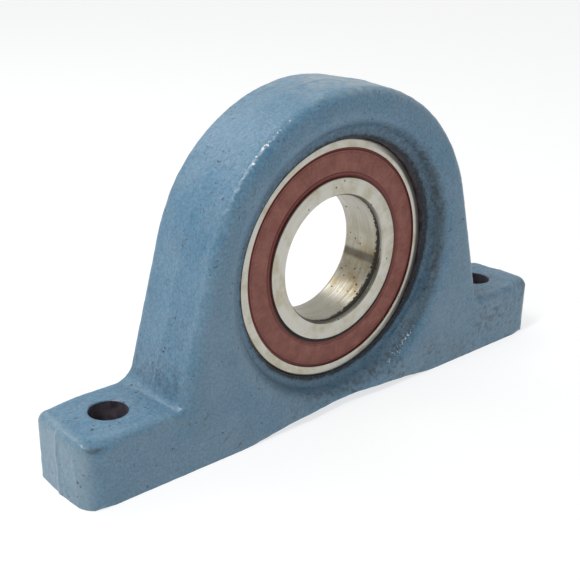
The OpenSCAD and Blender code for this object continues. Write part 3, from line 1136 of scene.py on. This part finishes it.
    def weather_and_light(self, mesh: bpy.types.Mesh) -> None:
        """Record the marks of use, with painted shade and painted highlights, on the casting as a colour on
        its points.

        Args:
            mesh: The machined casting.
        """
        points = np.zeros(len(mesh.vertices) * 3)
        mesh.vertices.foreach_get("co", points)
        marks = SkinMarksAndLight(self, points.reshape(-1, 3) / MM)
        # Red holds grime and painted shade, green wear and painted highlight, blue rust, and alpha dust.
        colours = np.stack([marks.grime_and_shade(), marks.wear_and_highlight(), marks.rust(), marks.dust()], axis=1)
        layer = mesh.color_attributes.new(WEATHER_AND_LIGHT, "FLOAT_COLOR", "POINT")
        layer.data.foreach_set("color", np.clip(colours, 0, 1).ravel())

    def dress(self, piece: bpy.types.Object) -> None:
        """Give the cast skin its enamel and the machined faces their bare iron.

        Args:
            piece: The housing.
        """
        mesh = piece.data
        mesh.materials.clear()
        mesh.materials.append(EnamelOnCastIron().make())
        mesh.materials.append(BoredIron().make())
        centre = np.zeros(len(mesh.polygons) * 3)
        mesh.polygons.foreach_get("center", centre)
        x, y, z = (centre.reshape(-1, 3) / MM).T
        reach = np.hypot(x, z - self.axis_height)
        back = self.bearing_y + self.ring_half
        # A face is machined where its middle lies on a cut, within a few hundredths.
        machined = (reach < self.seat_radius + 0.08) & (y < back + 0.05)
        machined |= reach < self.shoulder_radius + 0.08
        machined |= z < 0.01
        for side in (-1, 1):
            machined |= np.hypot(x - side * self.bolt_reach, y) < self.bolt_radius + 0.06
        mesh.polygons.foreach_set("material_index", machined.astype(np.int32))

    def build(self) -> bpy.types.Object:
        """Cast, machine, weather and paint the housing, with its painted shade and highlights.

        Returns:
            The finished piece, riding on the block.
        """
        points, faces = self.skin()
        raw = bpy.data.meshes.new("raw_casting")
        raw.from_pydata((points * MM).tolist(), [], faces.tolist())
        mesh = self.machine(raw)
        mesh.name = "housing_casting"
        self.weather_and_light(mesh)
        smooth_by_angle(mesh, 32)
        piece = new_object("housing_casting", mesh)
        self.dress(piece)
        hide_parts("housing")
        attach(piece, "block")
        LOG.info("housing: %d faces", len(mesh.polygons))
        return piece


@dataclass
class SkinMarksAndLight:
    """Grime and painted shade, wear and painted highlight, rust and dust on the casting, each from 0 to 1
    with one value per point.

    Places on the face are given as the distance from the shaft axis and the angle about it in degrees: 0 at
    the right, 90 at the top and -90 at the bottom, seen from the front.
    """

    casting: CastHousing
    points: np.ndarray

    def __post_init__(self) -> None:
        """Work out where each point lies and lay the noise that breaks up every mark."""
        self.x, self.y, self.z = self.points.T
        above = self.z - self.casting.axis_height
        self.reach = np.hypot(self.x, above)
        self.angle = np.degrees(np.arctan2(above, self.x))
        self.sunk = self.casting.half_width + self.y
        self.front = self.y < 0
        self.arched = above > 0
        self.cloud = speckle(self.points, 9.0, 41.3)
        self.fine = speckle(self.points, 2.4, 57.9)
        self.grit = speckle(self.points, 1.5, 73.1)
        self.on_face = 1 - ease(self.sunk, 3.0, 6.0)
        self.crest = ease(self.reach, 57, 59.5) * self.arched
        self.lower = near(self.x, 12, 38) * (1 - ease(self.z, 8, 20)) * self.on_face
        self.right_foot = ease(self.x, 50, 80) * (1 - ease(self.z, 17, 30))

    def dish_shade_and_grime(self) -> np.ndarray:
        """Paint shade into the front recess, darkest on its right and at its top, with grit in it.

        Returns:
            The painted shade and grime in both recesses; the rear recess's floor is darkened evenly.
        """
        in_dish = ease(self.sunk, 1.6, 4.2) * (1 - ease(self.reach, 47.0, 50.0)) * self.front
        shaded = 0.12 + 0.3 * near(self.angle, 20, 48) + 0.24 * near(self.angle, 110, 60)
        uneven = 1 + 0.25 * self.fine + 0.3 * self.cloud
        grime_and_shade = in_dish * (shaded * uneven + 0.25 * np.maximum(self.grit, 0))
        # Painted shadow: a dark line runs round the wall, high up, and a darker line of painted shade lies on
        # the floor against the ring, in the gap.
        wall_line = near(self.reach + 0.2 * self.fine, 48.3, 1.2) * ease(self.sunk, 0.5, 1.5) * self.front
        on_wall = 0.5 * near(self.angle, 12, 55) + 0.26 * near(self.angle, -60, 45)
        grime_and_shade += wall_line * (1 + 0.5 * self.grit) * on_wall
        right_side = near(self.angle, 5, 62)
        edge = 43.1 + 1.0 * right_side
        on_floor = ease(self.sunk, 3.5, 4.5) * self.front
        by_ring = 1 - ease(self.reach + 0.5 * self.fine, edge, edge + 0.8)
        grime_and_shade += (0.8 + 0.1 * right_side) * on_floor * by_ring
        rear_sunk = self.casting.half_width - self.y
        grime_and_shade += 0.4 * ease(rear_sunk, 0.4, 2.0) * (1 - ease(self.reach, 48.0, 51.0)) * (self.y > 0)
        return grime_and_shade

    def grime_and_shade(self) -> np.ndarray:
        """Lay painted shade and grime in the recesses, painted shade in the crease at the foot of each flank,
        and grime low on the face, on the flanks and on the right foot.

        Returns:
            The grime and painted shade at each point.
        """
        grime_and_shade = self.dish_shade_and_grime()
        grime_and_shade += self.lower * (0.1 + 0.25 * self.cloud + 0.4 * self.grit)
        grime_and_shade += 0.14 * self.on_face * ease(self.x, -20, 50) * np.maximum(self.grit, 0)
        grime_and_shade += self.right_foot * (0.02 + 0.2 * self.cloud + 0.35 * self.grit)
        # Painted shade in the crease where each flank meets its foot: on the low flank and on the foot top
        # beside it.
        across = np.abs(self.x) - self.casting.flank_reach
        low_flank = ease(self.z, 22.5, 24.5) * (1 - ease(self.z, 27, 38))
        toe = ease(-across, -0.8, 1.2) * (1 - ease(-across, 6, 14)) * low_flank
        grime_and_shade += 0.8 * toe * ease(self.sunk, 2.0, 5.0) * (0.2 + 0.3 * self.fine)
        grime_and_shade += 0.12 * (1 - ease(across, 2.0, 12.0)) * ease(across, 0.8, 1.8) * ease(self.z, 20.5, 22.0)
        flanks = ease(np.abs(self.x), 40, 60) * ease(self.sunk, 3.0, 6.0) * ease(self.z, 24, 30)
        grime_and_shade += flanks * 0.14 * np.maximum(self.fine + self.cloud, 0)
        return grime_and_shade

    def wear_and_highlight(self) -> np.ndarray:
        """Lay pale rubbed paint and painted highlight along the arch's front edge and down its left side, and
        on the recess rim at the lower right.

        Returns:
            The wear and painted highlight at each point.
        """
        edge = ease(self.reach, 58.0, 59.5) * near(self.sunk, 2.1, 1.0) * self.arched
        worn = 0.78 * edge * near(self.angle, 130, 17) * (1 + 0.3 * self.fine)
        worn += 0.5 * edge * near(self.angle, 172, 8) * (0.5 + 0.7 * self.fine)
        rim = near(self.reach, 48.8, 1.7) * ease(self.sunk, 0.6, 1.6) * self.front
        worn += 0.64 * rim * near(self.angle, -52, 26) * (1 + 0.3 * self.grit)
        return worn

    def rust(self) -> np.ndarray:
        """Rust the left foot's corner, the arch's edge, the low stains, three scratches and the holes' lips.

        Returns:
            The rust at each point.
        """
        corner = near(self.x, -101.5, 3.0) * near(self.z, 19.9, 0.8) * (self.y < -13)
        rust = 0.7 * corner * ease(self.fine, -0.2, 0.35)
        brown = self.crest * near(self.angle, 62, 18) * near(self.sunk, 7, 7)
        rust += 0.34 * brown * ease(self.fine + 0.5 * self.cloud, -0.1, 0.6)
        foxed = np.maximum(self.lower, 0.8 * self.right_foot * self.front)
        rust += 0.3 * foxed * ease(self.grit + self.cloud, -0.1, 0.7)
        # Each scratch has its middle's X and Z and its length. All three slant the same way.
        slant_x, slant_z = 0.85, 0.5
        for middle_x, middle_z, length in ((-49, 2.6, 7.0), (-54, 7.0, 5.0), (-62, 17.5, 6.0)):
            off_x, off_z = self.x - middle_x, self.z - middle_z
            along = off_x * slant_x + off_z * slant_z
            line = near(off_z * slant_x - off_x * slant_z, 0, 0.35)
            rust += 0.6 * line * self.on_face * ease(along, -length / 2, 0) * (1 - ease(along, 0, length / 2))
        top = self.casting.foot_height
        for side in (-1, 1):
            from_hole = np.hypot(self.x - side * self.casting.bolt_reach, self.y) - self.casting.bolt_radius
            lip = (1 - ease(from_hole, 0.2, 1.1)) * ease(self.z, top - 2, top - 0.6)
            rust += 0.5 * lip * ease(self.fine, -0.05, 0.4)
        return rust

    def dust(self) -> np.ndarray:
        """Settle dust on the crest, on the ends of the feet and as a thin film low on the face.

        Returns:
            The dust at each point.
        """
        settled = np.clip(0.34 + 0.35 * self.cloud + 0.5 * self.fine, 0, 0.8)
        dust = self.crest * near(self.angle, 84, 19) * settled
        dust += self.crest * 0.1 * np.maximum(self.cloud + self.fine, 0)
        end = self.casting.half_length
        dust += 0.24 * ease(np.abs(self.x), end - 5, end - 2) * (1 + 0.6 * self.fine)
        dust += 0.09 * self.on_face * (1 - ease(self.z, 55, 95)) * (1 + 0.5 * self.cloud)
        return dust


# ---------------------------------------------------------------------------------------------------------
# The bearing
# ---------------------------------------------------------------------------------------------------------


@dataclass
class BearingRing:
    """One ring of the bearing, ground all over, with its raceway and seal seats."""

    kind: Ring
    centre: Vector
    half: float = 9.5
    pitch_radius: float = 32.5
    ball_radius: float = 6.35
    play: float = 0.01
    bore_radius: float = 22.5
    bore_chamfer: float = 0.7
    bore_depth: float = 1.2
    inner_shoulder: float = 28.8
    outer_shoulder: float = 36.5
    outer_radius: float = 42.5
    outer_round: float = 1.1
    mouth: float = 39.0
    groove: float = 39.4
    land: float = 0.4
    bevel: float = 0.12
    seal_step: float = 7.9
    inner_conformity: float = 0.515
    outer_conformity: float = 0.53
    groove_steps: int = 24

    def raceway(self, inner: bool) -> list[tuple[float, float]]:
        """Trace the ball groove, whose radius is the ball's diameter times the conformity.

        Args:
            inner: Whether it is the inner ring's groove.

        Returns:
            Its points as radius and Y, in the order that the ring's outline needs.
        """
        if inner:
            radius = self.inner_conformity * 2 * self.ball_radius
            middle = self.pitch_radius - self.ball_radius - self.play + radius
            reach = math.acos((middle - self.inner_shoulder) / radius)
            return arc((middle, 0), radius, math.pi - reach, math.pi + reach, self.groove_steps)
        radius = self.outer_conformity * 2 * self.ball_radius
        middle = self.pitch_radius + self.ball_radius + self.play - radius
        reach = math.acos((self.outer_shoulder - middle) / radius)
        return arc((middle, 0), radius, reach, -reach, self.groove_steps)

    def profile(self) -> list[tuple[float, float]]:
        """Draw the ring's section.

        Returns:
            Its outline as radius and Y.
        """
        half = self.half
        if self.kind is Ring.INNER:
            face = self.bore_radius + self.bore_chamfer
            return soften([
                (self.bore_radius, self.bore_depth - half, 0.4), (face, -half, 0.15),
                (self.inner_shoulder, -half, 0.4), *[(r, y, 0) for r, y in reversed(self.raceway(True))],
                (self.inner_shoulder, half, 0.4), (face, half, 0.15),
                (self.bore_radius, half - self.bore_depth, 0.4),
            ])
        lip, deep = self.mouth + self.bevel, half - self.land
        return soften([
            (lip, -half, 0.06), (self.outer_radius, -half, self.outer_round),
            (self.outer_radius, half, self.outer_round), (lip, half, 0.06),
            (self.mouth, half - self.bevel, 0.05), (self.mouth, deep, 0), (self.groove, deep, 0),
            (self.groove, self.seal_step, 0), (self.outer_shoulder, self.seal_step, 0.1),
            *[(r, y, 0) for r, y in self.raceway(False)],
            (self.outer_shoulder, -self.seal_step, 0.1), (self.groove, -self.seal_step, 0),
            (self.groove, -deep, 0), (self.mouth, -deep, 0), (self.mouth, self.bevel - half, 0.05),
        ])

    def build(self) -> bpy.types.Object:
        """Turn the ring and grind it.

        Returns:
            The finished ring, riding on its body.
        """
        node = self.kind.value
        mesh = turn_profile(node + "_ground", self.profile(), 360)
        smooth_by_angle(mesh, 28)
        piece = new_object(node + "_ground", mesh)
        piece.location = self.centre * MM
        inner = self.kind is Ring.INNER
        steel = ShaftSoiledSteel() if inner else PaintedRimReflectionSteel()
        mesh.materials.append(steel.make())
        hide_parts(node)
        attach(piece, "inner_ring" if inner else "block")
        LOG.info("%s: %d faces", node, len(mesh.polygons))
        return piece


@dataclass
class Seal:
    """Moulded rubber of one contact seal, with a rim bead, a flat web and a lip on the inner ring."""

    side: Side
    centre: Vector
    step: float = 7.9
    groove: float = 39.4
    mouth: float = 39.0
    groove_edge: float = 9.1
    web: float = 9.15
    lip_radius: float = 28.85
    plate_inner: float = 30.8
    plate_outer: float = 38.2
    plate_back: float = 8.25
    plate_front: float = 8.75

    def profile(self) -> list[tuple[float, float]]:
        """Draw the rubber's section.

        Returns:
            Its outline as radius and distance from the bearing's middle.
        """
        web = self.web
        rim = [
            (self.groove, self.step, 0), (self.groove, self.groove_edge - 0.3, 0.05), (self.mouth, 8.85, 0),
            (38.3, 8.87, 0.1), (38.02, web + 0.02, 0.12), (37.65, web + 0.02, 0.1),
        ]
        flat_web = [(37.48, web - 0.14, 0.08), (37.25, web, 0.1), (31.2, web, 0.15), (30.95, web - 0.22, 0.1)]
        lip = [
            (30.6, web - 0.22, 0.1), (30.35, web - 0.02, 0.14), (29.75, web - 0.12, 0.2),
            (29.4, web - 0.4, 0.12), (self.lip_radius, web - 0.6, 0.06),
            (self.lip_radius, self.step - 0.2, 0.05), (29.6, self.step - 0.2, 0.1),
        ]
        plate_pocket = [
            (self.plate_inner - 0.5, self.plate_back, 0), (self.plate_inner, self.plate_back, 0),
            (self.plate_inner, self.plate_front, 0), (self.plate_outer, self.plate_front, 0),
            (self.plate_outer, self.step, 0),
        ]
        return soften(rim + flat_web + lip + plate_pocket)

    def build(self) -> bpy.types.Object:
        """Mould the seal.

        Returns:
            The finished rubber, riding on the block.
        """
        node = f"seal_{self.side.name.lower()}_rubber"
        outline = [(r, y * self.side.value) for r, y in self.profile()]
        mesh = turn_profile(node + "_moulded", outline, 360)
        smooth_by_angle(mesh, 40)
        piece = new_object(node + "_moulded", mesh)
        piece.location = self.centre * MM
        mesh.materials.append(NitrileRubber().make())
        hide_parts(node)
        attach(piece, "block")
        LOG.info("%s: %d faces", node, len(mesh.polygons))
        return piece


@dataclass
class RollingSet:
    """Balls, cage halves and rivets, and the seals' steel plates, which keep their own shapes."""

    finishes: dict[str, Finish] = field(default_factory=lambda: {
        "ball_": LappedBallSteel(),
        "cage_": PressedStrip(),
        "seal_": PressedStrip(steel="#8e8e8b", oily="#74736d"),
    })

    def dress(self) -> None:
        """Give each kept node its finish."""
        for prefix, finish in self.finishes.items():
            material = finish.make()
            for name, node in sorted(frame["nodes"].items()):
                if name.startswith(prefix) and not name.endswith("_rubber"):
                    node.data.materials.clear()
                    node.data.materials.append(material)
                    smooth_by_angle(node.data, 30)
                    LOG.info("%s: %s", name, material.name)


# ---------------------------------------------------------------------------------------------------------
# The studio
# ---------------------------------------------------------------------------------------------------------


@dataclass(frozen=True)
class Softbox:
    """One rectangular softbox: where it hangs from the block, how large it is, and its power."""

    name: str
    toward: tuple[float, float, float]
    width: float
    length: float
    watts: float
    reach: float = 0.9


@dataclass
class Studio:
    """Camera, soft lights and the pale board that the block stands on.

    The sky is white all round, except for the open, unlit side of the studio, where it falls off to dim.
    """

    azimuth: float = -41.69
    elevation: float = 22.14
    roll: float = 0.97
    distance: float = 0.34761
    lens: float = 62.86
    aim: tuple[float, float, float] = (-0.01383, 0.0, 0.04293)
    sensor: float = 36.0
    sky: float = 0.79
    dim: float = 0.1
    open_side: tuple[float, float, float] = (-0.62, -0.70, 0.36)
    backdrop: float = 0.94
    board_reach: float = 6.0
    softboxes: tuple[Softbox, ...] = (
        Softbox("key_strip", (-0.55, -0.06, 0.8), 0.13, 0.5, 5.4),
        Softbox("rear_fill", (-0.15, 0.68, 0.7), 0.4, 0.4, 1.1),
    )

    def view_axes(self) -> tuple[Vector, Vector, Vector]:
        """Work out how the camera is turned.

        Returns:
            Its right, up and backward directions.
        """
        turn, tilt, roll = (math.radians(a) for a in (self.azimuth, self.elevation, self.roll))
        back = Vector((math.sin(turn) * math.cos(tilt), -math.cos(turn) * math.cos(tilt), math.sin(tilt)))
        right = Vector((0, 0, 1)).cross(back).normalized()
        up = back.cross(right)
        rolled_right = right * math.cos(roll) + up * math.sin(roll)
        rolled_up = up * math.cos(roll) - right * math.sin(roll)
        return rolled_right, rolled_up, back

    def place_camera(self) -> None:
        """Stand the camera at the viewing angle."""
        right, up, back = self.view_axes()
        lens = bpy.data.cameras.new("camera")
        lens.lens = self.lens
        lens.sensor_width = self.sensor
        lens.clip_start = 0.01
        camera = bpy.data.objects.new("camera", lens)
        bpy.context.scene.collection.objects.link(camera)
        turned = Matrix((right, up, back)).transposed().to_4x4()
        camera.matrix_world = Matrix.Translation(Vector(self.aim) + back * self.distance) @ turned
        bpy.context.scene.camera = camera

    def hang(self, box: Softbox) -> None:
        """Hang a softbox so that it faces the block.

        Args:
            box: The softbox.
        """
        lamp = bpy.data.lights.new(box.name, "AREA")
        lamp.shape = "RECTANGLE"
        lamp.size, lamp.size_y = box.width, box.length
        lamp.energy = box.watts
        light = bpy.data.objects.new(box.name, lamp)
        bpy.context.scene.collection.objects.link(light)
        direction = Vector(box.toward).normalized()
        light.location = Vector(self.aim) + direction * box.reach
        light.rotation_euler = direction.to_track_quat("Z", "Y").to_euler()

    def light_sky(self) -> None:
        """Light the studio's walls."""
        world = bpy.data.worlds.new("studio_sky")
        world.use_nodes = True
        tree = world.node_tree
        sky = tree.nodes["Background"]
        sky.inputs["Color"].default_value = (1, 1, 1, 1)
        toward = add_node(tree, "VectorMath", {"operation": "DOT_PRODUCT"}, {
            0: add_node(tree, "TexCoord").outputs["Generated"], 1: self.open_side})
        light = add_node(tree, "MapRange", SMOOTH, {
            "Value": toward.outputs["Value"], "From Min": 0.15, "From Max": 0.9,
            "To Min": self.sky, "To Max": self.dim})
        # Seen directly, the studio is one pale backdrop. Only its light on the block is uneven.
        seen = add_node(tree, "Mix", {"data_type": "FLOAT"}, {
            0: add_node(tree, "LightPath").outputs["Is Camera Ray"], 2: light.outputs[0], 3: self.backdrop})
        tree.links.new(seen.outputs[0], sky.inputs["Strength"])
        bpy.context.scene.world = world

    def build(self) -> None:
        """Set up the camera, the light and the board."""
        self.place_camera()
        self.light_sky()
        for box in self.softboxes:
            self.hang(box)
        board = bpy.data.meshes.new("studio_board")
        far = self.board_reach
        corners = [(-far, -far, 0), (far, -far, 0), (far, far, 0), (-far, far, 0)]
        board.from_pydata(corners, [], [(0, 1, 2, 3)])
        board.materials.append(StudioBoard().make())
        new_object("studio_board", board)
        bpy.context.scene.view_settings.view_transform = "Standard"


def mount(name: str) -> dict:
    """Find one of the record's mounts by name."""
    return next(m for m in frame["record"]["mounts"] if m["name"] == name)


def main() -> None:
    """Build every piece, sized from the housing node's box and the record's mounts."""
    logging.basicConfig(level=logging.INFO, format="%(name)s: %(message)s")
    low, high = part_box("housing")
    shaft = Vector(mount("shaft_bore")["pos_m"]) / MM
    bolts = mount("bolt_holes")["dims"]
    Studio().build()
    CastHousing(
        axis_height=shaft.z,
        half_length=(high.x - low.x) / 2 / MM,
        half_width=(high.y - low.y) / 2 / MM,
        bolt_reach=bolts["spacing_x_mm"] / 2,
        bolt_radius=bolts["hole_r_mm"],
        bearing_y=shaft.y,
    ).build()
    for kind in Ring:
        BearingRing(kind, shaft).build()
    for side in Side:
        Seal(side, shaft).build()
    RollingSet().dress()


if __name__ == "__main__":
    main()
